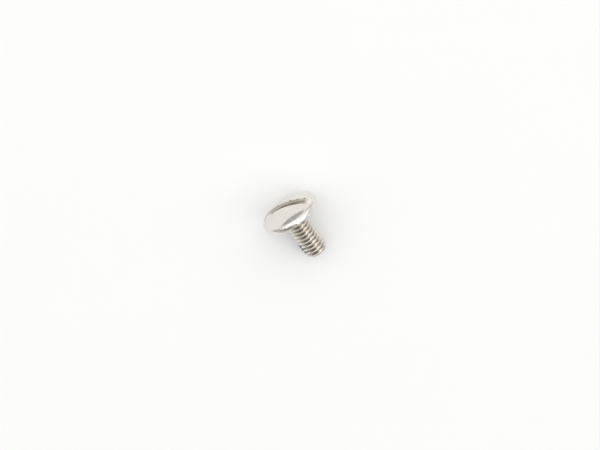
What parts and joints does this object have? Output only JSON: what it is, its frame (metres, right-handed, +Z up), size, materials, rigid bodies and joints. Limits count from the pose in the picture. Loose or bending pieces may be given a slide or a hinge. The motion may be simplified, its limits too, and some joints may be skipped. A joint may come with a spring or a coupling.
{
  "type": "machine screw",
  "caption": "Short machine screw with a wide low domed head, a driver slot right across it, a fine thread and a thread-locking patch near the tip.",
  "frame": {"origin": "on the surface that the screw rests on, under the middle of its outline seen from above", "axes": "+Z up; the screw lies with its tip towards +X, and its axis dips by 21.5 degrees from the head to the tip in the XZ plane"},
  "size_m": [0.0094, 0.0084, 0.0081],
  "materials": {
    "plating": "bright nickel plating, lightly marked by handling",
    "compound": "dried thread-locking compound, matte"
  },
  "bodies": {
    "root": {"screw": "plating", "locking_patch": "compound"}
  },
  "joints": []
}
